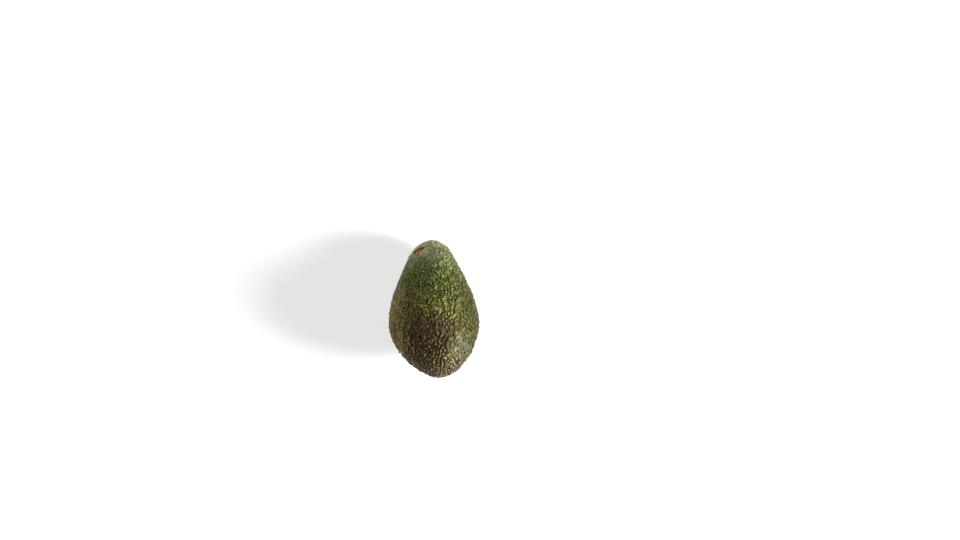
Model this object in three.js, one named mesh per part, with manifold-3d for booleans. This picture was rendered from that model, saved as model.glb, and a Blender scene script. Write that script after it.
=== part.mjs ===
// A whole avocado, lying on its side: the fruit, and the corky button of its stem in the socket
// near the end of the neck. Millimetres and degrees, +Z up. The fruit lies along Y with its blossom
// end at -Y and its neck at +Y. The origin is on the surface that it lies on, under the middle of
// the model's bounding box.
import * as THREE from "three";
import { mergeVertices } from "three/addons/utils/BufferGeometryUtils.js";
import Module from "manifold-3d";

// Fruit
const LENGTH = 107.8; // blossom end to the end of the neck
const BELLY_WIDTH = 67; // widest, across X
const BELLY_HEIGHT = 65; // thickest, before the resting spot is pressed in
const BELLY_BOW = 2.2; // how far the belly bows to -X
const SPOT_DEPTH = 0.5; // how far the resting spot is pressed in

// Outline: Preston's egg curve, half width = sin(a) times a power series in cos(a), scaled to the
// belly, with a running from 0 at the blossom end to 180 degrees at the neck.
const TAPER = 0.335; // of cos(a): narrows the neck
const WAIST = -0.279; // of its square: below 0, slims both ends against the belly
const HEEL = -0.329; // of its cube: below 0, draws in the blossom end and fills the neck
const BLUNTING = 0.225; // of its fourth power: blunts both ends

// Stem scar: a small level place on the shoulder of the neck, with a round socket in it
const SCAR_AROUND = 120; // where it is round the fruit, from +X by way of the top
const SCAR_DOWN = 39; // how far it is down from the neck's pole
const SCAR_TIP = 11; // how far it is tipped from the fruit's own curve toward the end of the neck
const SCAR_SINK = 0.3; // how far it lies below the fruit's own curve
const LEVEL_RADIUS = 5.4; // level around the socket to this radius
const BLEND_RADIUS = 9; // and runs out into the fruit's own curve by this one
const SOCKET_RADIUS = 4.6;
const SOCKET_DEPTH = 1.9;

// Stem button
const BUTTON_CLEARANCE = 0.3; // between the button and its socket, at the side and below
const BUTTON_HEIGHT = 1.7;
const BUTTON_CROWN = 0.35; // radius of the rounding at its edges
const HOLLOW_RADIUS = 2.1; // the dried pit in the middle of the button
const HOLLOW_FLOOR_RADIUS = 1.5;
const HOLLOW_DEPTH = 1.0;

// How finely the curves are divided
const AROUND = 64;
const ALONG = 52;
const BUTTON_AROUND = 40;
const CROWN_STEPS = 5;

const CORK_COLOUR = 0xb4602c;
const SKIN_COLOUR = 0x4b4a28;

const wasm = await Module();
wasm.setup();

const radians = THREE.MathUtils.degToRad;
const neckward = new THREE.Vector3(0, 1, 0);

// Turns a closed BufferGeometry into a manifold-3d solid.
function solidOf(geometry) {
  const bare = geometry.clone().deleteAttribute("normal").deleteAttribute("uv");
  const merged = mergeVertices(bare, 1e-4);
  return new wasm.Manifold(
    new wasm.Mesh({
      numProp: 3,
      vertProperties: new Float32Array(merged.attributes.position.array),
      triVerts: new Uint32Array(merged.index.array),
    }),
  );
}

// Turns a manifold-3d solid back into a BufferGeometry.
function geometryOf(solid) {
  const mesh = solid.getMesh();
  const geometry = new THREE.BufferGeometry();
  geometry.setAttribute("position", new THREE.BufferAttribute(mesh.vertProperties, 3));
  geometry.setIndex(new THREE.BufferAttribute(mesh.triVerts, 1));
  geometry.computeVertexNormals();
  return geometry;
}

// Half width of Preston's curve where cos(a) is c, before scaling.
function prestonHalfWidth(c) {
  const series = 1 + TAPER * c + WAIST * c ** 2 + HEEL * c ** 3 + BLUNTING * c ** 4;
  return Math.sqrt(Math.max(0, 1 - c * c)) * series;
}

function widestOfPreston() {
  let widest = 0;
  for (let c = -1; c <= 1; c += 0.001) widest = Math.max(widest, prestonHalfWidth(c));
  return widest;
}
const WIDEST = widestOfPreston();

// A point of the fruit's plain surface, for a direction of the unit sphere whose +Y pole is the neck.
function surfacePoint(direction) {
  const share = (1 + direction.y) / 2;
  const ring = Math.hypot(direction.x, direction.z) || 1;
  const half = prestonHalfWidth(-direction.y) / WIDEST;
  return new THREE.Vector3(
    (half * BELLY_WIDTH * direction.x) / ring / 2 - BELLY_BOW * Math.sin(Math.PI * share),
    (direction.y * LENGTH) / 2,
    (half * BELLY_HEIGHT * direction.z) / ring / 2,
  );
}

// A point of the plain surface from its angle round the fruit and its angle down from the neck's pole.
function pointAt(around, down) {
  const ring = Math.sin(radians(down));
  const [x, z] = [ring * Math.cos(radians(around)), ring * Math.sin(radians(around))];
  return surfacePoint(new THREE.Vector3(x, Math.cos(radians(down)), z));
}

// The way the plain surface faces there.
function facingAt(around, down) {
  const step = 0.1;
  const middle = pointAt(around, down);
  const round = pointAt(around + step, down).sub(middle);
  const away = pointAt(around, down + step).sub(middle);
  return away.cross(round).normalize().negate();
}

// The scar's place and the way it faces, before the fruit is laid down.
const curveFacing = facingAt(SCAR_AROUND, SCAR_DOWN);
const scarCentre = pointAt(SCAR_AROUND, SCAR_DOWN).addScaledVector(curveFacing, -SCAR_SINK);
const tipAxis = new THREE.Vector3().crossVectors(curveFacing, neckward).normalize();
const scarNormal = curveFacing.clone().applyAxisAngle(tipAxis, radians(SCAR_TIP));
const scarTurn = new THREE.Quaternion().setFromUnitVectors(neckward, scarNormal);

// Presses a point near the scar onto the scar's plane.
function levelled(point) {
  const away = point.clone().sub(scarCentre);
  const height = away.dot(scarNormal);
  const radius = away.addScaledVector(scarNormal, -height).length();
  const hold = 1 - THREE.MathUtils.smoothstep(radius, LEVEL_RADIUS, BLEND_RADIUS);
  return height > -BLEND_RADIUS ? point.clone().addScaledVector(scarNormal, -height * hold) : point;
}

// The fruit as grown, with no socket and no resting spot, its middle at the origin.
function fruitGeometry() {
  const geometry = new THREE.SphereGeometry(1, AROUND, ALONG);
  const position = geometry.attributes.position;
  const at = new THREE.Vector3();
  for (let i = 0; i < position.count; i++) {
    at.fromBufferAttribute(position, i);
    const point = levelled(surfacePoint(at));
    position.setXYZ(i, point.x, point.y, point.z);
  }
  return geometry;
}

// A solid of revolution about the scar's own axis. A profile point is [radius, height above the scar].
function aroundScar(profile) {
  const points = profile.map(([radius, height]) => new THREE.Vector2(radius, height));
  const geometry = new THREE.LatheGeometry(points, BUTTON_AROUND);
  return geometry.applyQuaternion(scarTurn).translate(scarCentre.x, scarCentre.y, scarCentre.z);
}

function socketGeometry() {
  return aroundScar([
    [0, -SOCKET_DEPTH],
    [SOCKET_RADIUS, -SOCKET_DEPTH],
    [SOCKET_RADIUS, SOCKET_DEPTH],
    [0, SOCKET_DEPTH],
  ]);
}

// A quarter round of the button's crown, from one angle to another about a centre.
function crownArc(radius, height, from, to) {
  return Array.from({ length: CROWN_STEPS + 1 }, (_, i) => {
    const angle = radians(from + ((to - from) * i) / CROWN_STEPS);
    return [radius + BUTTON_CROWN * Math.cos(angle), height + BUTTON_CROWN * Math.sin(angle)];
  });
}

function buttonGeometry() {
  const radius = SOCKET_RADIUS - BUTTON_CLEARANCE;
  const bottom = -SOCKET_DEPTH + BUTTON_CLEARANCE;
  const top = bottom + BUTTON_HEIGHT;
  return aroundScar([
    [0, bottom],
    [radius, bottom],
    ...crownArc(radius - BUTTON_CROWN, top - BUTTON_CROWN, 0, 90),
    ...crownArc(HOLLOW_RADIUS + BUTTON_CROWN, top - BUTTON_CROWN, 90, 180),
    [HOLLOW_FLOOR_RADIUS, top - HOLLOW_DEPTH],
    [0, top - HOLLOW_DEPTH],
  ]);
}

// The centre of mass of a closed geometry of even density.
function centreOfMass(geometry) {
  const { position } = geometry.attributes;
  const [a, b, c] = [0, 1, 2].map(() => new THREE.Vector3());
  const sum = new THREE.Vector3();
  let volume = 0;
  for (let i = 0; i < geometry.index.count; i += 3) {
    [a, b, c].forEach((corner, k) => corner.fromBufferAttribute(position, geometry.index.getX(i + k)));
    const share = a.dot(new THREE.Vector3().crossVectors(b, c));
    volume += share;
    sum.addScaledVector(a.add(b).add(c), share / 4);
  }
  return sum.divideScalar(volume);
}

function lowestZ(geometry, turn) {
  const { position } = geometry.attributes;
  const at = new THREE.Vector3();
  let lowest = Infinity;
  for (let i = 0; i < position.count; i++) {
    at.fromBufferAttribute(position, i).applyQuaternion(turn);
    lowest = Math.min(lowest, at.z);
  }
  return lowest;
}

// A fruit on its side comes to rest with its centre of mass as low as it goes: the neck droops.
function restingTurn(geometry) {
  const centre = centreOfMass(geometry);
  const sideways = new THREE.Vector3(1, 0, 0);
  let best = { height: Infinity };
  for (let droop = -10; droop <= 30; droop += 0.1) {
    const turn = new THREE.Quaternion().setFromAxisAngle(sideways, -radians(droop));
    const height = centre.clone().applyQuaternion(turn).z - lowestZ(geometry, turn);
    if (height < best.height) best = { height, turn };
  }
  return best.turn;
}

const grown = fruitGeometry();
const resting = restingTurn(grown);

// The floor that the fruit is pressed onto, as a solid below the resting spot.
function floorGeometry(top) {
  const size = LENGTH + BELLY_WIDTH;
  return new THREE.BoxGeometry(size, size, size).translate(0, 0, top - size / 2);
}

function buildFruit() {
  const laid = solidOf(grown.clone().applyQuaternion(resting));
  const socket = solidOf(socketGeometry().applyQuaternion(resting));
  const floor = solidOf(floorGeometry(lowestZ(grown, resting) + SPOT_DEPTH));
  const skin = new THREE.MeshStandardMaterial({ color: SKIN_COLOUR, roughness: 0.5, metalness: 0 });
  const mesh = new THREE.Mesh(geometryOf(laid.subtract(socket).subtract(floor)), skin);
  mesh.name = "avocado_fruit";
  return mesh;
}

function buildButton() {
  const cork = new THREE.MeshStandardMaterial({ color: CORK_COLOUR, roughness: 0.85, metalness: 0 });
  const mesh = new THREE.Mesh(buttonGeometry().applyQuaternion(resting), cork);
  mesh.name = "stem_button";
  return mesh;
}

const avocado = new THREE.Group();
avocado.add(buildFruit(), buildButton());

// Stands the bounding box on the origin.
const box = new THREE.Box3().setFromObject(avocado, true);
avocado.position.set(-(box.min.x + box.max.x) / 2, -(box.min.y + box.max.y) / 2, -box.min.z);

export default avocado;
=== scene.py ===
"""A whole avocado lying on its side on a pale floor.

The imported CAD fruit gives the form. The skin is a finer mesh on that form, with its pebbles,
ridges and pits as real relief, and the stem's dried end is a second mesh in the scar.
All lengths are in metres.
"""
import itertools
import math

import bpy
import numpy as np
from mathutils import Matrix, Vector
from mathutils.bvhtree import BVHTree
from mathutils.kdtree import KDTree


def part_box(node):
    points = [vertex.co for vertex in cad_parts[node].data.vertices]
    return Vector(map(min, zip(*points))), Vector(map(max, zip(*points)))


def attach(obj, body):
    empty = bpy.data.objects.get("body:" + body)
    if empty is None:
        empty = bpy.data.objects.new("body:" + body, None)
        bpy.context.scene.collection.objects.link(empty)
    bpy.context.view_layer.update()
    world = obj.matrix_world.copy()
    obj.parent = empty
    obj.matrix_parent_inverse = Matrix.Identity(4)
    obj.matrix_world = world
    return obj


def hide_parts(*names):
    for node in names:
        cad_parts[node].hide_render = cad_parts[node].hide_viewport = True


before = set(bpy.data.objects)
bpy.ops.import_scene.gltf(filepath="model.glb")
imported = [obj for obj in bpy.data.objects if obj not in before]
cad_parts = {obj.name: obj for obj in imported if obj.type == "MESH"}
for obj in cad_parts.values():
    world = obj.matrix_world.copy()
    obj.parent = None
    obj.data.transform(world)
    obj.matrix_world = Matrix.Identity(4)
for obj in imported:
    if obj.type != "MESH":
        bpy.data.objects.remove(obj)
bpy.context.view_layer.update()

MM = 0.001

# Skin mesh
GRID = 128  # squares along each side of each of the cube's faces
SCAR_PULL = 0.55  # how strongly vertices gather round the scar
SCAR_PULL_ANGLE = 0.35  # radians from the scar over which that fades
FORM_SMOOTHING = 36  # rounds that melt the CAD facets away

# The skin round the scar; these lengths without a unit are shares of the button's radius
LEVEL_FROM = 1.12  # the CAD skin from here out gives the level that the socket is lifted to
LEVEL_TO = 1.6
LIP_RADIUS = 1.2
LIP_HEIGHT = 0.5 * MM
LIP_WIDTH = 0.85 * MM
BULGE_RADIUS = 1.25
BULGE_HEIGHT = 1.2 * MM  # the skin's swelling on the scar's upper side
BULGE_WIDTH = 2.2 * MM
BULGE_REACH = 0.2  # more carries the swelling further down the scar's two sides
BULGE_FALL = 1.5  # more makes it fade faster toward them
WALL_OUTSIDE = 1.10  # where the lip starts to go down
WALL_INSIDE = 1.02  # where it has reached the bottom
SOCKET_DEPTH = 1.8 * MM
SCAR_SMOOTH_FROM = 1.25  # the least pebbles inside this
SCAR_SMOOTH_TO = 2.6  # full pebbles outside this
SCAR_REACH = 6 * MM  # how far below the button's top the skin still counts as beside it
SCAR_RELIEF = 0.25  # share of the pebbles' height that is left close to the scar
SCAR_SWELLING = 0.2  # share of the undulations that is left there
LIP_ROUGHNESS = 0.25  # share of both that is left on the lip
FAR_FROM_SCAR = 9  # for the material: any distance that is well clear of the scar

# Pebbles. PLACES are along the fruit, from the blossom end to the neck's tip, and the four rows
# of values after it are for those places
PLACES = (0.0, 0.22, 0.55, 0.8, 1.0)
SPACING = (1.8 * MM, 2.3 * MM, 2.1 * MM, 1.8 * MM, 1.5 * MM)
STRETCH = (1.0, 1.1, 1.25, 1.4, 1.55)  # along the grain against across it
RELIEF = (1.0 * MM, 1.75 * MM, 1.2 * MM, 0.8 * MM, 0.42 * MM)  # height of a full pebble
MERGING = (0.25, 0.36, 0.40, 0.37, 0.34)  # share of neighbours that run together
SPACING_VARIATION = 0.25  # share by which the spacing changes from patch to patch
SPACING_PATCHES = 8 * MM
MERGING_VARIATION = 0.10
MERGING_PATCHES = 11 * MM
MERGING_GRAIN = 0.3  # how much likelier neighbours along the grain are to run together
WOBBLE = 0.25  # how far a pebble's border wanders, of the spacing
WOBBLE_SIZE = 1.3 * MM
# How the grain wanders, broad and fine: radians, size across, the noise's seed
GRAIN_SWINGS = ((1.0, 15 * MM, 3), (0.6, 5 * MM, 4))
NEAREST = 10  # seeds looked at for each vertex
BLENDED = 3  # of them, the ones whose pebbles a vertex may be part of
BLEND_WIDTH = 0.06  # how gradually one pebble passes into the next
OPEN_WIDTH = 0.06  # how gradually a border closes where two pebbles run together
CLOSED = 0.6  # how far in a vertex on a closed border counts as, of the spacing
SHOULDER = 0.48  # how far in from its edge a pebble rounds over, of the spacing
DOME = 1.8  # less makes a pebble flatter on top, more makes it narrower
TINY = 1e-9  # keeps a division by two seeds' distance safe
LOWEST_TOP = 0.50  # of the relief
TOP_VARIATION = 0.68
MEAN_RELIEF = 0.43  # the relief that lies level with the CAD form

# Swells of the whole surface, broad to fine: depth, size across, the noise's seed
UNDULATIONS = (
    (0.35 * MM, 14 * MM, 31),
    (0.30 * MM, 5 * MM, 32),
    (0.20 * MM, 2.4 * MM, 33),
    (0.10 * MM, 1.2 * MM, 34),
)

# A darker brown patch on the upper side of the belly, partly a bruise and partly painted shade,
# and a shallow hollow along the neck; places are from the middle of the fruit, in shares of
# its box
BRUISE_AND_SHADE = np.array([-0.06, -0.205, 0.47])
BRUISE_AND_SHADE_SIZE = np.array([19 * MM, 17 * MM, 17 * MM])
BRUISE_AND_SHADE_SMOOTHING = 0.4
HOLLOW = np.array([-0.07, 0.20, 0.30])
HOLLOW_SIZE = np.array([8 * MM, 16 * MM, 15 * MM])
HOLLOW_DEPTH = 1.6 * MM

# Smoother skin with a pale painted sheen on it, low on the lit side of the belly and beside
# the scar: place in shares of the box, and size
SHEEN_PATCHES = (
    ((0.29, -0.29, 0.28), (8 * MM, 8 * MM, 16 * MM)),
    ((-0.08, 0.38, 0.12), (9 * MM, 7 * MM, 14 * MM)),
    ((0.09, 0.39, 0.15), (9 * MM, 6 * MM, 14 * MM)),
)
SHEEN_PATCH_SMOOTHING = 0.2

# The blossom's own small scar
BLOSSOM_DEPTH = 0.5 * MM
BLOSSOM_RADIUS = 1.1 * MM
BLOSSOM_STAIN = 1.6 * MM


def lerp_along(along, values):
    """The value at each place along the fruit, between the ones stated."""
    return np.interp(along, PLACES, values)


def smoothstep(low, high, value):
    """0 below low, 1 above high, and a smooth rise between them."""
    t = np.clip((value - low) / (high - low), 0, 1)
    return t * t * (3 - 2 * t)


def bell(points, centre, size):
    """1 at the centre, fading to nothing in every direction."""
    return np.exp(-np.sum(((points - centre) / size) ** 2, axis=1))


def unit(vectors):
    length = np.linalg.norm(vectors, axis=-1, keepdims=True)
    return vectors / np.maximum(length, 1e-12)  # never a division by nothing


def dots(a, b):
    return np.sum(a * b, axis=-1)


def hashed(cells, seed):
    """A number from 0 to 1 for each row of three whole numbers. The factors only mix the bits."""
    mixed = cells[..., 0] * 73856093 ^ cells[..., 1] * 19349663 ^ cells[..., 2] * 83492791
    mixed = mixed ^ (seed * 668265263)
    mixed = (mixed ^ (mixed >> 13)) * 1274126177 & 0x7FFFFFFF
    mixed = mixed ^ (mixed >> 15)
    return (mixed & 0xFFFFF) / 0xFFFFF


def noise(points, size, seed):
    """Smooth noise from -1 to 1, with features about that size."""
    scaled = points / size
    cell = np.floor(scaled).astype(np.int64)
    part = scaled - cell
    part = part * part * (3 - 2 * part)
    total = np.zeros(len(points))
    for corner in itertools.product((0, 1), repeat=3):
        weight = np.prod(np.where(corner, part, 1 - part), axis=1)
        total += weight * hashed(cell + corner, seed)
    return total * 2 - 1


def mesh_arrays(node):
    """A CAD node's vertices and triangles."""
    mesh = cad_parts[node].data
    places = np.empty(len(mesh.vertices) * 3)
    mesh.vertices.foreach_get("co", places)
    return places.reshape(-1, 3), [tuple(p.vertices) for p in mesh.polygons]


# ---------------------------------------------------------------- the scar's own frame


def scar_frame(fruit_centre):
    """The scar's centre, the way it faces, and the button's radius, from the CAD button."""
    places, _ = mesh_arrays("stem_button")
    middle = (places.min(0) + places.max(0)) / 2
    spread = np.linalg.svd(places - places.mean(0), full_matrices=False)[2]
    facing = spread[2] * np.sign(dots(spread[2], middle - fruit_centre))
    away = places - middle
    height = away @ facing
    across = away - height[:, None] * facing
    radius = np.linalg.norm(across, axis=1).max()
    return middle + facing * height.max(), facing, radius


def around_scar(points):
    """Each point's distance from the scar's axis, its height above the button's top, and how far
    it is on the scar's upper side, from -1 to 1."""
    away = points - scar_centre
    height = away @ scar_facing
    across = away - height[:, None] * scar_facing
    upward = unit(np.array([0.0, 0.0, 1.0]) - scar_facing[2] * scar_facing)
    return np.linalg.norm(across, axis=1), height, unit(across) @ upward


# ---------------------------------------------------------------- the form


def cube_sphere(n):
    """A unit sphere of six n by n grids: vertices, quads and each quad's four UV corners."""
    steps = np.tan(np.linspace(-1, 1, n + 1) * math.pi / 4)
    u, v = np.meshgrid(steps, steps, indexing="ij")
    one = np.ones_like(u)
    faces = [
        (one, u, v), (-one, v, u), (v, one, u),
        (u, -one, v), (u, v, one), (v, u, -one),
    ]
    points = unit(np.concatenate([np.stack(f, -1).reshape(-1, 3) for f in faces]))
    _, first, merged = np.unique(
        np.round(points, 7), axis=0, return_index=True, return_inverse=True
    )
    merged = merged.reshape(-1)
    i, j = np.meshgrid(np.arange(n), np.arange(n), indexing="ij")
    steps_round = ((0, 0), (1, 0), (1, 1), (0, 1))
    corner = np.stack([(i + a) * (n + 1) + j + b for a, b in steps_round], -1)
    corner = corner.reshape(-1, 4)
    margin = 0.01
    quads, corners = [], []
    for k in range(6):
        quads.append(merged[corner + k * (n + 1) ** 2])
        place = np.stack([corner // (n + 1), corner % (n + 1)], -1) / n
        origin = np.array([k % 3, k // 3])
        corners.append((origin + margin + place * (1 - 2 * margin)) / (3, 2))
    return points[first], np.concatenate(quads), np.concatenate(corners)


def gathered(directions, target):
    """Directions, pulled toward the target so that there are more of them near it."""
    cosine = np.clip(directions @ target, -1, 1)
    angle = np.arccos(cosine)
    pulled = angle * (1 - SCAR_PULL * np.exp(-((angle / SCAR_PULL_ANGLE) ** 2)))
    sideways = unit(directions - cosine[:, None] * target)
    return np.cos(pulled)[:, None] * target + np.sin(pulled)[:, None] * sideways


def neighbour_mean(values, edges, counts):
    """The mean of each vertex's neighbours, over the edges that join them."""
    total = np.zeros_like(values)
    for axis in range(values.shape[1]):
        for a, b in ((0, 1), (1, 0)):
            total[:, axis] += np.bincount(edges[:, a], values[edges[:, b], axis], len(values))
    return total / counts[:, None]


def smoothed(points, quads):
    """The points, with each one moved many times halfway to the mean of its neighbours."""
    edges = np.concatenate([quads[:, [k, (k + 1) % 4]] for k in range(4)])
    edges = np.unique(np.sort(edges, axis=1), axis=0)
    counts = np.bincount(edges.ravel(), minlength=len(points))
    for _ in range(FORM_SMOOTHING):
        points = 0.5 * points + 0.5 * neighbour_mean(points, edges, counts)
    return points


def vertex_normals(points, quads):
    a, b, c, d = (points[quads[:, k]] for k in range(4))
    across = np.cross(c - a, d - b)
    normals = np.zeros_like(points)
    for axis in range(3):
        for k in range(4):
            normals[:, axis] += np.bincount(quads[:, k], across[:, axis], len(points))
    return unit(normals)


def levelled(points):
    """The points, with those in the CAD socket lifted to the level of the skin round it."""
    distance, height, _ = around_scar(points)
    near = distance < scar_radius * LEVEL_TO
    near &= dots(points - fruit_centre, np.broadcast_to(scar_facing, points.shape)) > 0
    level = np.median(height[near & (distance > scar_radius * LEVEL_FROM)])
    lift = np.where(near & (distance < scar_radius * LEVEL_FROM), level - height, 0)
    return points + lift[:, None] * scar_facing


def build_form():
    """The fruit's smooth form, with the scar level and its socket not yet sunk."""
    places, triangles = mesh_arrays("avocado_fruit")
    tree = BVHTree.FromPolygons([Vector(p) for p in places], triangles)
    half = (places.max(0) - places.min(0)) / 2
    directions, quads, corners = cube_sphere(GRID)
    toward_scar = unit((scar_centre - fruit_centre) / half)
    directions = unit(gathered(directions, toward_scar) * half)
    start = Vector(fruit_centre)
    points = np.array([tree.ray_cast(start, Vector(d))[0] for d in directions])
    outward = vertex_normals(points, quads)
    if np.mean(dots(outward, directions)) < 0:
        quads = quads[:, ::-1]
        corners = corners[:, ::-1]
    return smoothed(levelled(points), quads), quads, corners


# ---------------------------------------------------------------- the pebbles


def scattered(points, spacing, stretch, grain, seed):
    """Indices of points that keep their spacing, wider along the grain than across it."""
    order = np.random.default_rng(seed).permutation(len(points))
    cell = float((spacing * stretch).max())
    keys = [tuple(k) for k in np.floor(points / cell).astype(int).tolist()]
    place, along, wide, limit = (a.tolist() for a in (points, grain, stretch, spacing**2))
    around = list(itertools.product((-1, 0, 1), repeat=3))
    taken, chosen = {}, []
    for i in order.tolist():
        (x, y, z), (gx, gy, gz), (kx, ky, kz) = place[i], along[i], keys[i]
        squeeze = 1 - 1 / wide[i] ** 2
        clear = True
        for ax, ay, az in around:
            for px, py, pz in taken.get((kx + ax, ky + ay, kz + az), ()):
                dx, dy, dz = px - x, py - y, pz - z
                run = dx * gx + dy * gy + dz * gz
                if dx * dx + dy * dy + dz * dz - run * run * squeeze < limit[i]:
                    clear = False
                    break
            if not clear:
                break
        if clear:
            taken.setdefault(keys[i], []).append(place[i])
            chosen.append(i)
    return np.array(chosen)


def nearest_seeds(points, seeds):
    """The numbers of the seeds nearest to each point."""
    tree = KDTree(len(seeds))
    for i, seed in enumerate(seeds.tolist()):
        tree.insert(seed, i)
    tree.balance()
    return np.array([[hit[1] for hit in tree.find_n(p, NEAREST)] for p in points.tolist()])


def grain_of(points, normals):
    """The way the skin runs: away from the scar, wandering from side to side."""
    grain = points - scar_centre
    grain = unit(grain - dots(grain, normals)[:, None] * normals)
    sideways = np.cross(normals, grain)
    swing = sum(turn * noise(points, size, seed) for turn, size, seed in GRAIN_SWINGS)
    return np.cos(swing)[:, None] * grain + np.sin(swing)[:, None] * sideways


def seeds_around(points, seeds, grain, sideways, spacing, stretch):
    """Each point's nearest seeds, nearest first: their numbers, and how far they are along the
    grain and across it, in units of the spacing."""
    near = nearest_seeds(points, seeds)
    away = seeds[near] - points[:, None]
    run = dots(away, grain[:, None]) / (spacing * stretch)[:, None]
    side = dots(away, sideways[:, None]) / spacing[:, None]
    order = np.argsort(run**2 + side**2, axis=1)
    return tuple(np.take_along_axis(a, order, 1) for a in (near, run, side))


def way_in(k, near, run, side, merging):
    """How far in each vertex is from the nearest open border of its k-th pebble. The border
    between two pebbles that run together is closed."""
    distance2 = run**2 + side**2
    inward = np.full(len(near), np.inf)
    for c in range(NEAREST):
        if c == k:
            continue
        du, dv = run[:, c] - run[:, k], side[:, c] - side[:, k]
        apart2 = np.maximum(du**2 + dv**2, TINY)
        border = (distance2[:, c] - distance2[:, k]) / (2 * np.sqrt(apart2))
        first = np.minimum(near[:, k], near[:, c])
        second = np.maximum(near[:, k], near[:, c])
        chance = hashed(np.stack([first, second, first * 0], -1), seed=21)
        likely = merging + MERGING_GRAIN * (du**2 / apart2 - 0.5)
        shut = smoothstep(-OPEN_WIDTH, OPEN_WIDTH, likely - chance)
        inward = np.minimum(inward, np.maximum(border, 0) + CLOSED * shut)
    return inward


def pebbles(points, normals, along):
    """Relief from 0 in the pits to about 1 on the ridges, and each pebble's own random number."""
    grain = grain_of(points, normals)
    sideways = np.cross(normals, grain)
    uneven = SPACING_VARIATION * noise(points, SPACING_PATCHES, seed=5)
    spacing = lerp_along(along, SPACING) * (1 + uneven)
    stretch = lerp_along(along, STRETCH)
    seeds = points[scattered(points, spacing, stretch, grain, seed=11)]

    wobble = noise(points, WOBBLE_SIZE, seed=6)[:, None] * grain
    wobble += noise(points, WOBBLE_SIZE, seed=7)[:, None] * sideways
    warped = points + wobble * WOBBLE * spacing[:, None]
    near, run, side = seeds_around(warped, seeds, grain, sideways, spacing, stretch)

    # a vertex close to a border is partly in the pebbles on both sides of it
    distance2 = run**2 + side**2
    weights = np.exp(-(distance2[:, :BLENDED] - distance2[:, :1]) / BLEND_WIDTH)
    random = hashed(np.stack([near, near * 0, near * 0], -1), seed=23)[:, :BLENDED]
    merging = lerp_along(along, MERGING)
    merging = merging + MERGING_VARIATION * noise(points, MERGING_PATCHES, seed=8)
    relief = np.zeros(len(points))
    for k in range(BLENDED):
        outer = 1 - np.minimum(way_in(k, near, run, side, merging) / SHOULDER, 1)
        top = LOWEST_TOP + TOP_VARIATION * random[:, k]
        relief += weights[:, k] * (1 - outer**2) ** DOME * top
    total = weights.sum(axis=1)
    return relief / total, (weights * random).sum(axis=1) / total


# ---------------------------------------------------------------- building the skin


def new_mesh(name, points, faces, corners=None):
    """A smooth-shaded object in the scene, with UV corners for baked textures."""
    mesh = bpy.data.meshes.new(name)
    mesh.from_pydata(points.tolist(), [], [list(f) for f in faces])
    if corners is not None:
        layer = mesh.uv_layers.new(name="OFBake")
        layer.data.foreach_set("uv", np.asarray(corners).reshape(-1).astype(np.float32))
    mesh.polygons.foreach_set("use_smooth", [True] * len(mesh.polygons))
    mesh.validate()
    mesh.update()
    piece = bpy.data.objects.new(name, mesh)
    bpy.context.scene.collection.objects.link(piece)
    return piece


def add_attribute(piece, name, values):
    """A number at each vertex, for the material to read."""
    layer = piece.data.attributes.new(name, "FLOAT", "POINT")
    layer.data.foreach_set("value", np.asarray(values, dtype=np.float32))


def scar_profile(distance, upper):
    """The lip round the scar and the wall down to the socket's floor."""
    outside = smoothstep(WALL_INSIDE, WALL_OUTSIDE, distance / scar_radius)
    lip = LIP_HEIGHT * np.exp(-(((distance - LIP_RADIUS * scar_radius) / LIP_WIDTH) ** 2))
    bulge = np.exp(-(((distance - BULGE_RADIUS * scar_radius) / BULGE_WIDTH) ** 2))
    bulge *= BULGE_HEIGHT * np.maximum(upper + BULGE_REACH, 0) ** BULGE_FALL
    return lip + bulge * outside - SOCKET_DEPTH * (1 - outside)


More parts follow.
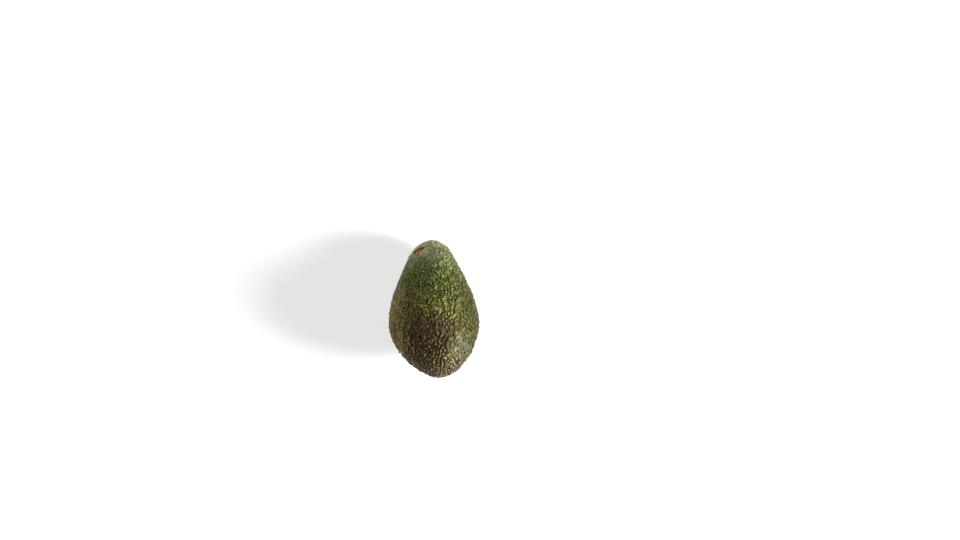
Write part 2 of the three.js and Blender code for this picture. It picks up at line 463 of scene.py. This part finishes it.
def build_skin():
    points, quads, corners = build_form()
    normals = vertex_normals(points, quads)
    low, high = points.min(0), points.max(0)
    size = high - low
    middle = (low + high) / 2
    along = (points[:, 1] - low[1]) / size[1]
    distance, height, upper = around_scar(points)
    from_scar = distance / scar_radius
    beside = height > -SCAR_REACH
    pebbled = np.where(beside, smoothstep(SCAR_SMOOTH_FROM, SCAR_SMOOTH_TO, from_scar), 1)
    # a darker patch, partly a bruise and partly painted shade
    bruise_and_shade = bell(points, middle + size * BRUISE_AND_SHADE, BRUISE_AND_SHADE_SIZE)
    # patches of smoother skin that carry a painted sheen
    sheen_patch = sum(bell(points, middle + size * place, spread) for place, spread in SHEEN_PATCHES)

    relief, random = pebbles(points, normals, along)
    amount = lerp_along(along, RELIEF) * (SCAR_RELIEF + (1 - SCAR_RELIEF) * pebbled)
    amount *= (1 - BRUISE_AND_SHADE_SMOOTHING * bruise_and_shade) * (1 - SHEEN_PATCH_SMOOTHING * sheen_patch)
    rise = amount * (relief - MEAN_RELIEF)
    rise -= HOLLOW_DEPTH * bell(points, middle + size * HOLLOW, HOLLOW_SIZE)
    swelling = SCAR_SWELLING + (1 - SCAR_SWELLING) * pebbled
    for depth, across, seed in UNDULATIONS:
        rise += depth * noise(points, across, seed) * swelling

    socket = np.where(beside, scar_profile(distance, upper), 0)
    on_lip = beside & (distance < LIP_RADIUS * scar_radius)
    rise = np.where(on_lip, rise * LIP_ROUGHNESS, rise)
    points = points + normals * rise[:, None] + scar_facing * socket[:, None]

    from_tip = np.linalg.norm(points - points[np.argmin(along)], axis=1)
    dent = BLOSSOM_DEPTH * np.exp(-((from_tip / BLOSSOM_RADIUS) ** 2))
    points = points - normals * dent[:, None]

    # what lies on the floor is pressed flat
    points[:, 2] = np.maximum(points[:, 2], 0)

    piece = new_mesh("avocado_skin", points, quads, corners)
    add_attribute(piece, "relief", relief)
    add_attribute(piece, "random", random)
    add_attribute(piece, "along", along)
    add_attribute(piece, "flank", (points[:, 0] - low[0]) / size[0])
    add_attribute(piece, "scar", np.where(beside, from_scar, FAR_FROM_SCAR))
    add_attribute(piece, "blossom", np.exp(-((from_tip / BLOSSOM_STAIN) ** 2)))
    add_attribute(piece, "bruise_and_shade", bruise_and_shade)
    add_attribute(piece, "sheen_patch", sheen_patch)
    piece.data.materials.append(skin_material())
    return piece


# ---------------------------------------------------------------- the stem's dried end

STEM_AROUND = 96
STEM_RINGS = 44
STEM_CRUMPLE = 0.13 * MM
STEM_CRUMPLES = ((1.0, 0.55 * MM, 41), (0.7, 1.2 * MM, 42))  # part, size, the noise's seed
STEM_SPOKES = 17
STEM_SPOKE_HEIGHT = 0.09 * MM
STEM_SPOKE_TWIST = 2  # radians by which a spoke wanders
SPOKES_RISE = (0.2, 0.5)  # shares of the radius over which the spokes begin
SPOKES_FADE = (0.9, 0.98)  # and over which they end
STEM_SHRINKAGE = 0.035  # of the radius
# radius as a share of the button's, and height above its top in millimetres
STEM_PROFILE = (
    (0.0, -0.92), (0.12, -0.96), (0.24, -1.04), (0.36, -1.08), (0.44, -0.92), (0.50, -0.64),
    (0.56, -0.42), (0.62, -0.30), (0.69, -0.26), (0.76, -0.30), (0.83, -0.40), (0.90, -0.56),
    (0.95, -0.76), (0.98, -1.1), (0.985, -1.65),
)


def stem_surface(right, up):
    """The stem end's points, ring by ring from its middle outward and down, with each one's share
    of the radius and how much it lies on a spoke, and the height of the last ring."""
    profile = np.array(STEM_PROFILE)
    steps = np.linspace(0, len(profile) - 1, STEM_RINGS)
    share = np.interp(steps, np.arange(len(profile)), profile[:, 0])
    height = np.interp(steps, np.arange(len(profile)), profile[:, 1]) * MM
    angle = np.arange(STEM_AROUND) * 2 * math.pi / STEM_AROUND
    ring = np.cos(angle)[:, None] * right + np.sin(angle)[:, None] * up

    uneven = noise(scar_centre + scar_radius * ring, 2.0 * MM, seed=44)
    shrunk = 1 - STEM_SHRINKAGE * (1 + uneven)
    flat = scar_centre + scar_radius * share[:, None, None] * shrunk[:, None] * ring
    flat = flat.reshape(-1, 3)
    share = np.repeat(share, STEM_AROUND)
    crumple = sum(part * noise(flat, size, seed) for part, size, seed in STEM_CRUMPLES)
    twist = STEM_SPOKE_TWIST * noise(flat, 1.5 * MM, seed=43)
    spokes = np.sin(np.tile(angle, STEM_RINGS) * STEM_SPOKES + twist)
    onto = smoothstep(*SPOKES_RISE, share) * (1 - smoothstep(*SPOKES_FADE, share))
    rise = np.repeat(height, STEM_AROUND) + STEM_CRUMPLE * crumple
    rise = rise + STEM_SPOKE_HEIGHT * spokes * onto
    points = flat + rise[:, None] * scar_facing
    points[:STEM_AROUND] = points[:STEM_AROUND].mean(0)
    return points, share, spokes * onto, height[-1]


def stem_corner(radius, turn):
    """A UV corner on a disc."""
    angle = turn * 2 * math.pi / STEM_AROUND
    return (0.5 + 0.45 * radius * math.cos(angle), 0.5 + 0.45 * radius * math.sin(angle))


def stem_faces():
    """The stem end's faces and their UV corners: the rings, the closed middle and the bottom."""
    faces, corners = [], []
    for k in range(1, STEM_RINGS - 1):
        for i in range(STEM_AROUND):
            j = (i + 1) % STEM_AROUND
            a, b = k * STEM_AROUND, (k + 1) * STEM_AROUND
            faces.append((a + i, b + i, b + j, a + j))
            for radius, turn in ((k, i), (k + 1, i), (k + 1, i + 1), (k, i + 1)):
                corners.append(stem_corner(radius / STEM_RINGS, turn))
    inner = 1 / STEM_RINGS
    for i in range(STEM_AROUND):
        j = (i + 1) % STEM_AROUND
        faces.append((0, STEM_AROUND + i, STEM_AROUND + j))
        corners += [(0.5, 0.5), stem_corner(inner, i), stem_corner(inner, i + 1)]

    # the bottom is out of sight in the socket, so a speck of the UV square is enough for it
    bottom = STEM_RINGS * STEM_AROUND
    last = bottom - STEM_AROUND
    for i in range(STEM_AROUND):
        j = (i + 1) % STEM_AROUND
        faces.append((last + j, last + i, bottom))
        corners += [(0.01, 0.01), (0.02, 0.01), (0.01, 0.02)]
    return faces, corners


def build_stem():
    right = unit(np.cross(scar_facing, [0.0, 0.0, 1.0]))
    up = np.cross(right, scar_facing)
    points, share, spokes, lowest = stem_surface(right, up)
    points = np.vstack([points, scar_centre + scar_facing * lowest])
    faces, corners = stem_faces()

    # the first ring has shrunk to a point, so one vertex of it is enough
    keep = np.ones(len(points), bool)
    keep[1:STEM_AROUND] = False
    number = np.cumsum(keep) - 1
    faces = [[int(number[v]) for v in face] for face in faces]
    piece = new_mesh("stem_end", points[keep], faces, corners)
    add_attribute(piece, "share", np.append(share, 1.0)[keep])
    add_attribute(piece, "spokes", np.append(spokes, 0.0)[keep])
    add_attribute(piece, "across", (points[keep] - scar_centre) @ right / scar_radius)
    piece.data.materials.append(stem_material())
    return piece


# ---------------------------------------------------------------- materials


def linear(r, g, b):
    """A colour stated as screen values from 0 to 255, for a shader."""
    values = (v / 255 for v in (r, g, b))
    return tuple(v / 12.92 if v <= 0.04045 else ((v + 0.055) / 1.055) ** 2.4 for v in values) + (1,)


class Nodes:
    """Short names for what the materials below are made of."""

    def __init__(self, name):
        self.material = bpy.data.materials.new(name)
        self.material.use_nodes = True
        self.tree = self.material.node_tree
        self.shader = self.tree.nodes["Principled BSDF"]

    def link(self, value, socket):
        if isinstance(value, bpy.types.NodeSocket):
            self.tree.links.new(value, socket)
        else:
            socket.default_value = value

    def attribute(self, name):
        node = self.tree.nodes.new("ShaderNodeAttribute")
        node.attribute_name = name
        return node.outputs["Fac"]

    def place(self):
        return self.tree.nodes.new("ShaderNodeTexCoord").outputs["Object"]

    def stretched(self, scale):
        node = self.tree.nodes.new("ShaderNodeMapping")
        self.link(self.place(), node.inputs["Vector"])
        node.inputs["Scale"].default_value = scale
        return node.outputs["Vector"]

    def noise(self, size, detail=3.0, roughness=0.55, vector=None):
        node = self.tree.nodes.new("ShaderNodeTexNoise")
        self.link(vector or self.place(), node.inputs["Vector"])
        node.inputs["Scale"].default_value = 1 / size
        node.inputs["Detail"].default_value = detail
        node.inputs["Roughness"].default_value = roughness
        return node.outputs["Fac"]

    def cells(self, size):
        """The distance from the nearest of many scattered points, in units of the size."""
        node = self.tree.nodes.new("ShaderNodeTexVoronoi")
        self.link(self.place(), node.inputs["Vector"])
        node.inputs["Scale"].default_value = 1 / size
        return node.outputs["Distance"]

    def maths(self, operation, a, b):
        node = self.tree.nodes.new("ShaderNodeMath")
        node.operation = operation
        self.link(a, node.inputs[0])
        self.link(b, node.inputs[1])
        return node.outputs["Value"]

    def between(self, value, low, high, to_low=0.0, to_high=1.0):
        """A smooth change from to_low, where the value is low, to to_high, where it is high."""
        node = self.tree.nodes.new("ShaderNodeMapRange")
        node.interpolation_type = "SMOOTHSTEP"
        self.link(value, node.inputs["Value"])
        node.inputs["From Min"].default_value = low
        node.inputs["From Max"].default_value = high
        node.inputs["To Min"].default_value = to_low
        node.inputs["To Max"].default_value = to_high
        return node.outputs["Result"]

    def spread(self, value, to_low, to_high):
        """Noise, which mostly lies between 0.3 and 0.7, spread from to_low to to_high."""
        return self.between(value, 0.3, 0.7, to_low, to_high)

    def ramp(self, value, stops):
        node = self.tree.nodes.new("ShaderNodeValToRGB")
        self.link(value, node.inputs["Fac"])
        elements = node.color_ramp.elements
        while len(elements) < len(stops):
            elements.new(0.5)
        for element, (position, colour) in zip(elements, stops):
            element.position = position
            element.color = linear(*colour)
        return node.outputs["Color"]

    def mix(self, share, a, b, blend="MIX"):
        """Colour a where the share is 0 and b where it is 1."""
        node = self.tree.nodes.new("ShaderNodeMix")
        node.data_type = "RGBA"
        node.blend_type = blend
        self.link(share, node.inputs["Factor"])
        self.link(a, node.inputs[6])
        self.link(b, node.inputs[7])
        return node.outputs[2]

    def bump(self, height, depth, strength=1.0, normal=None):
        node = self.tree.nodes.new("ShaderNodeBump")
        node.inputs["Strength"].default_value = strength
        node.inputs["Distance"].default_value = depth
        self.link(height, node.inputs["Height"])
        if normal is not None:
            self.link(normal, node.inputs["Normal"])
        return node.outputs["Normal"]


# The skin's colours, from the blossom end to the neck's tip. The pale tip is partly painted
# light, and the crests are paler ridge tops with painted highlights
SKIN_TOPS = (
    (0.00, (78, 61, 45)), (0.12, (74, 56, 36)), (0.26, (74, 60, 25)),
    (0.42, (73, 70, 16)), (0.68, (54, 66, 13)), (0.84, (62, 75, 19)), (0.98, (140, 136, 82)),
)
SKIN_CRESTS = (
    (0.00, (128, 112, 90)), (0.26, (178, 162, 118)), (0.42, (138, 138, 66)),
    (0.72, (108, 122, 60)), (0.98, (158, 155, 106)),
)
# a pit's darker colour is partly its own and partly painted shade
PIT_SHADE = 0.48  # a pit's brightness against a top's
PIT_TINT = (1.0, 0.92, 0.75)

BROWN_PEBBLE = linear(78, 62, 36)
YELLOW_PEBBLE = linear(98, 98, 46)
OLIVE_FLANK = linear(48, 49, 14)
BROWN_FLANK = linear(104, 86, 40)
DARK_PATCH = linear(50, 36, 20)
# the darker patch's colour: partly a bruise's brown, partly painted shade
BRUISED_AND_SHADED = linear(44, 29, 15)
# a pale painted sheen, standing in for the soft lights' reflection
PAINTED_SHEEN = linear(108, 113, 87)
SPECK = linear(62, 34, 18)
LENTICEL = linear(128, 126, 84)
SCAR_EDGE = linear(118, 112, 44)
SCAR_WALL = linear(58, 30, 14)
BLOSSOM_SCAR = linear(38, 26, 18)


def skin_ground(n, height, along):
    """Pits with painted shade, tops, and crests with painted highlights on the lit side,
    brown at the blossom end and green toward the neck.
    """
    place = n.maths("ADD", along, n.spread(n.noise(15 * MM, 4.0), -0.11, 0.11))
    tops = n.ramp(place, SKIN_TOPS)
    shade = tuple(PIT_SHADE * share for share in PIT_TINT) + (1,)
    # pits darker than the tops: partly their own colour, partly painted shade
    pits = n.mix(1.0, tops, shade, "MULTIPLY")
    colour = n.mix(n.between(height, 0.05, 0.65), pits, tops)
    crests = n.ramp(place, SKIN_CRESTS)
    # painted highlights on the crests, strongest on the lit side of the belly
    lit_side = n.between(n.attribute("flank"), 0.35, 0.65, 0.15, 0.75)
    return n.mix(n.maths("MULTIPLY", n.between(height, 0.46, 0.88), lit_side), colour, crests)


def skin_mottling(n, colour, along):
    """A fine mottling, stronger on the belly, with some pebbles browner and some yellower."""
    mottling = n.between(n.noise(1.5 * MM, 4.0, 0.7), 0.32, 0.68, 0.45, 1.9)
    mottled = n.mix(1.0, colour, mottling, "MULTIPLY")
    colour = n.mix(n.between(along, 0.35, 0.75, 0.9, 0.35), colour, mottled)
    random = n.attribute("random")
    colour = n.mix(n.between(random, 0.62, 0.95, 0.0, 0.45), colour, BROWN_PEBBLE)
    return n.mix(n.between(random, 0.30, 0.05, 0.0, 0.35), colour, YELLOW_PEBBLE)


def skin_flanks(n, colour, along):
    """A dark olive flank on the lit side of the belly, and a light brown one on the other."""
    flank = n.attribute("flank")
    olive = n.maths("MULTIPLY", n.between(flank, 0.66, 0.90), n.between(along, 0.85, 0.55))
    colour = n.mix(n.maths("MULTIPLY", olive, 0.85), colour, OLIVE_FLANK)
    brown = n.maths("MULTIPLY", n.between(flank, 0.28, 0.04), n.between(along, 0.8, 0.55))
    return n.mix(n.maths("MULTIPLY", brown, 0.65), colour, BROWN_FLANK)


def skin_patches(n, colour, along, bruise_and_shade):
    """Dark brown patches, more of them toward the blossom end, a darker patch that is partly a
    bruise and partly painted shade, and pale patches of painted sheen.
    """
    patch = n.maths("ADD", n.noise(22 * MM, 3.0), n.between(along, 0.25, 0.6, 0.06, -0.14))
    colour = n.mix(n.between(patch, 0.52, 0.66, 0.0, 0.55), colour, DARK_PATCH)
    # the darker patch: partly a bruise, partly painted shade
    colour = n.mix(n.between(bruise_and_shade, 0.05, 0.65, 0.0, 0.88), colour, BRUISED_AND_SHADED)
    # pale painted sheen on the smoother patches
    return n.mix(n.maths("MULTIPLY", n.attribute("sheen_patch"), 0.55), colour, PAINTED_SHEEN)


def skin_spots(n, colour, lenticel):
    """Small reddish brown specks, and pale lenticels."""
    uneven = n.spread(n.noise(1.5 * MM), -0.06, 0.06)
    speck = n.maths("ADD", n.cells(5.5 * MM), uneven)
    colour = n.mix(n.between(speck, 0.20, 0.12, 0.0, 0.7), colour, SPECK)
    return n.mix(n.between(lenticel, 0.17, 0.09, 0.0, 0.55), colour, LENTICEL)


def skin_scars(n, colour):
    """The skin just round the stem's scar, the wall of the scar, darkened partly as painted
    shade, and the blossom's scar.
    """
    scar = n.attribute("scar")
    colour = n.mix(n.between(scar, 1.45, 1.12, 0.0, 0.75), colour, SCAR_EDGE)
    # the wall's dark colour: the scar's own colour and painted shade in the groove
    colour = n.mix(n.between(scar, 1.12, 1.04), colour, SCAR_WALL)
    return n.mix(n.maths("MULTIPLY", n.attribute("blossom"), 0.9), colour, BLOSSOM_SCAR)


def skin_roughness(n, height, along, bruise_and_shade):
    """Glossy ridges and duller pits. The neck is glossier, the bruised and shaded patch and one
    flank duller.
    """
    rough = n.between(height, 0.1, 0.9, 0.44, 0.22)
    changes = (
        n.spread(n.noise(6 * MM), -0.06, 0.08),
        n.between(along, 0.5, 0.8, 0.0, -0.10),
        n.between(bruise_and_shade, 0.05, 0.65, 0.0, 0.18),
        n.between(n.attribute("flank"), 0.70, 0.92, 0.0, 0.30),
    )
    for change in changes:
        rough = n.maths("ADD", rough, change)
    return rough


def skin_bumps(n, along, lenticel):
    """Pores, raised lenticels, streaks along the neck, and small cells."""
    streaks = n.noise(0.8 * MM, 3.0, 0.6, n.stretched((1, 0.22, 1)))
    streaks = n.maths("MULTIPLY", streaks, n.between(along, 0.5, 0.8))
    pores = n.maths("ADD", n.noise(0.45 * MM, 3.0), n.between(lenticel, 0.05, 0.20, 0.5, 0.0))
    pores = n.maths("ADD", pores, n.maths("MULTIPLY", streaks, 3.0))
    fine = n.bump(pores, 0.15 * MM)
    return n.bump(n.cells(1.6 * MM), 1.0 * MM, 1.0, fine)


def skin_material():
    n = Nodes("avocado_skin")
    along = n.attribute("along")
    lenticel = n.cells(2.3 * MM)
    uneven = n.spread(n.noise(1.1 * MM, 2.0), -0.14, 0.14)
    height = n.maths("ADD", n.attribute("relief"), uneven)
    broken = n.between(n.noise(7 * MM), 0.2, 0.5)
    # the darker patch, partly bruise and partly painted shade, broken up by noise
    bruise_and_shade = n.maths("MULTIPLY", n.attribute("bruise_and_shade"), broken)

    colour = skin_ground(n, height, along)
    colour = skin_mottling(n, colour, along)
    colour = skin_flanks(n, colour, along)
    colour = skin_patches(n, colour, along, bruise_and_shade)
    colour = skin_spots(n, colour, lenticel)
    colour = skin_scars(n, colour)
    n.link(colour, n.shader.inputs["Base Color"])
    n.link(skin_roughness(n, height, along, bruise_and_shade), n.shader.inputs["Roughness"])
    n.link(skin_bumps(n, along, lenticel), n.shader.inputs["Normal"])
    n.shader.inputs["Specular IOR Level"].default_value = 0.30
    n.shader.inputs["Specular Tint"].default_value = (1.0, 0.93, 0.54, 1)
    return n.material


# The stem end's colours, from its middle to its rim, with painted shade in the dark bands
# inside the ring and at its foot, and from its left to its right, with painted light on the
# left and painted shade on the right
STEM_OUTWARD = (
    (0.0, (206, 160, 92)), (0.30, (156, 82, 36)), (0.46, (74, 20, 8)), (0.58, (140, 48, 16)),
    (0.70, (220, 116, 42)), (0.84, (200, 110, 48)), (0.96, (84, 46, 22)),
)
STEM_PAINTED_LIGHT_TO_SHADE = (
    (0.0, (176, 160, 62)), (0.14, (216, 140, 44)), (0.30, (236, 118, 36)),
    (0.55, (220, 88, 28)), (0.74, (124, 30, 14)), (1.0, (96, 24, 12)),
)
STEM_GROOVE = linear(84, 30, 14)
STEM_PALE = linear(214, 170, 112)
STEM_DARK = linear(40, 14, 6)


def stem_material():
    n = Nodes("stem_cork")
    wander = n.maths("ADD", n.attribute("share"), n.spread(n.noise(0.9 * MM), -0.05, 0.05))
    # painted shade in the dark bands inside the ring and at its foot
    outward = n.ramp(wander, STEM_OUTWARD)
    # painted light on the stem end's left and painted shade on its right
    across = n.ramp(n.between(n.attribute("across"), -1, 1), STEM_PAINTED_LIGHT_TO_SHADE)
    colour = n.mix(0.5, outward, across)
    colour = n.mix(n.between(n.attribute("spokes"), -0.1, -0.9, 0.0, 0.5), colour, STEM_GROOVE)
    colour = n.mix(n.between(n.noise(0.7 * MM, 3.0), 0.55, 0.72, 0.0, 0.5), colour, STEM_PALE)
    fibre = n.noise(0.35 * MM, 4.0, 0.7)
    colour = n.mix(n.between(fibre, 0.35, 0.7, 0.35, 0.0), colour, STEM_DARK)
    n.link(colour, n.shader.inputs["Base Color"])
    n.link(n.spread(fibre, 0.62, 0.85), n.shader.inputs["Roughness"])
    n.link(n.bump(fibre, 0.12 * MM, 0.8), n.shader.inputs["Normal"])
    return n.material


# ---------------------------------------------------------------- floor, lights, camera

FLOOR_SIZE = 12.0
# the floor's glow is painted light: the floor itself is no lamp
FLOOR_GLOW = 0.55  # the floor is a softly back-lit white sheet, which keeps the shadow faint


def build_floor():
    half = FLOOR_SIZE / 2
    corners = np.array([(-half, -half, 0), (half, -half, 0), (half, half, 0), (-half, half, 0)])
    floor = new_mesh("floor", corners, [(0, 1, 2, 3)])
    n = Nodes("floor_paper")
    cloud = n.spread(n.noise(0.4, 2.0), 0.0, 1.0)
    colour = n.mix(cloud, linear(186, 186, 186), linear(189, 189, 189))
    n.link(colour, n.shader.inputs["Base Color"])
    n.shader.inputs["Roughness"].default_value = 0.9
    n.shader.inputs["Specular IOR Level"].default_value = 0.1
    # the floor's painted glow
    n.shader.inputs["Emission Color"].default_value = (1, 1, 1, 1)
    n.shader.inputs["Emission Strength"].default_value = FLOOR_GLOW
    floor.data.materials.append(n.material)


AMBIENT = 0.08
LIGHT_DISTANCE = 3.0
# azimuth and elevation in degrees, the square light's side in metres, and its power in watts
LIGHTS = {
    "key": (-16, 22, 0.8, 226),
    "back": (105, 27, 2.4, 34),
    "glint": (150, 30, 0.25, 26),
    "fill": (195, 12, 1.6, 30),
}


def soft_light(name, azimuth, elevation, size, power):
    """A square soft light, aimed at the fruit. Azimuth runs from +X towards +Y."""
    a, e = math.radians(azimuth), math.radians(elevation)
    toward = Vector((math.cos(a) * math.cos(e), math.sin(a) * math.cos(e), math.sin(e)))
    light = bpy.data.lights.new(name, "AREA")
    light.size = size
    light.energy = power
    lamp = bpy.data.objects.new(name, light)
    lamp.location = Vector(fruit_centre) + toward * LIGHT_DISTANCE
    lamp.rotation_mode = "QUATERNION"
    lamp.rotation_quaternion = (-toward).to_track_quat("-Z", "Y")
    bpy.context.scene.collection.objects.link(lamp)


def light_scene():
    world = bpy.data.worlds.new("studio")
    world.use_nodes = True
    background = world.node_tree.nodes["Background"]
    background.inputs["Color"].default_value = (1, 1, 1, 1)
    background.inputs["Strength"].default_value = AMBIENT
    bpy.context.scene.world = world
    for name, settings in LIGHTS.items():
        soft_light(name, *settings)
    bpy.context.scene.view_settings.view_transform = "Standard"


VIEW_ELEVATION = 85.0
VIEW_AZIMUTH = -4.6
VIEW_DISTANCE = 1.712
VIEW_LENS = 85.0
FRUIT_LEFT = 0.0356  # the fruit lies this far left of the middle of the view
FRUIT_BELOW = 0.0288  # and this far below it


def build_camera():
    a, e = math.radians(VIEW_AZIMUTH), math.radians(VIEW_ELEVATION)
    back = Vector((math.sin(a) * math.cos(e), -math.cos(a) * math.cos(e), math.sin(e)))
    right = Vector((math.cos(a), math.sin(a), 0))
    up = back.cross(right)
    aim = Vector(fruit_centre) + right * FRUIT_LEFT + up * FRUIT_BELOW
    camera = bpy.data.objects.new("camera", bpy.data.cameras.new("camera"))
    camera.data.lens = VIEW_LENS
    camera.location = aim + back * VIEW_DISTANCE
    camera.rotation_mode = "QUATERNION"
    camera.rotation_quaternion = (-back).to_track_quat("-Z", "Y")
    bpy.context.scene.collection.objects.link(camera)
    bpy.context.scene.camera = camera


# ---------------------------------------------------------------- putting it together

fruit_low, fruit_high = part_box("avocado_fruit")
fruit_centre = np.array((fruit_low + fruit_high) / 2)
scar_centre, scar_facing, scar_radius = scar_frame(fruit_centre)

skin = build_skin()
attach(skin, "root")
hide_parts("avocado_fruit")

stem = build_stem()
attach(stem, "root")
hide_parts("stem_button")

build_floor()
light_scene()
build_camera()
